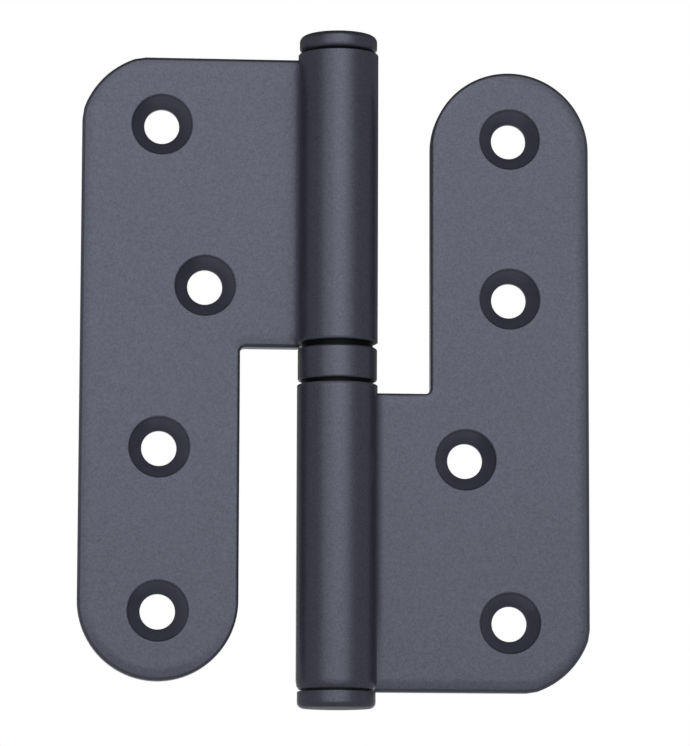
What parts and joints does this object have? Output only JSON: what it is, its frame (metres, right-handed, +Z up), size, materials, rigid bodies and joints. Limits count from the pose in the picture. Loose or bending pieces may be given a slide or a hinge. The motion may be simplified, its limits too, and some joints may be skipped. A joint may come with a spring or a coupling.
{
  "type": "lift-off hinge",
  "caption": "Door hinge of two rolled steel leaves on one pin, with a ball bearing collar between the knuckles; the upper leaf swings and lifts off.",
  "frame": {"origin": "on the pin axis, half way up the hinge between the ends of the two caps", "axes": "+Z up the pin axis, +X towards the lower leaf, +Y towards the back of the leaves, which is screwed to the door and frame"},
  "size_m": [0.0816, 0.0128, 0.1076],
  "materials": {
    "graphite_coat": "fine satin powder coat",
    "bearing_steel": "ground and lightly oiled"
  },
  "bodies": {
    "lower_half": {"lower_leaf": "graphite_coat", "hinge_pin": "bearing_steel", "bottom_cap": "graphite_coat", "bearing_lower_race": "bearing_steel"},
    "bearing_half": {"bearing_shell": "graphite_coat", "bearing_upper_race": "bearing_steel"},
    "upper_half": {"upper_leaf": "graphite_coat", "top_cap": "graphite_coat"},
    "ball_ring": {"bearing_ball_1": "bearing_steel", "bearing_ball_2": "bearing_steel", "bearing_ball_3": "bearing_steel", "bearing_ball_4": "bearing_steel", "bearing_ball_5": "bearing_steel", "bearing_ball_6": "bearing_steel", "bearing_ball_7": "bearing_steel", "bearing_ball_8": "bearing_steel", "bearing_ball_9": "bearing_steel", "bearing_ball_10": "bearing_steel", "bearing_ball_11": "bearing_steel", "bearing_ball_12": "bearing_steel"}
  },
  "joints": [
    {"name": "swing", "type": "hinge", "parent": "lower_half", "child": "bearing_half", "pos_m": [0, 0, 0], "axis": [0, 0, 1], "range_deg": [-130, 180]},
    {"name": "lift", "type": "slide", "parent": "bearing_half", "child": "upper_half", "axis": [0, 0, 1], "range_m": [0, 0.045]},
    {"name": "ball_orbit", "type": "hinge", "parent": "lower_half", "child": "ball_ring", "pos_m": [0, 0, 0], "axis": [0, 0, 1], "range_deg": [-65, 90]}
  ],
  "couplings": [
    {"joint": "ball_orbit", "follows": "swing", "ratio": 0.5}
  ]
}
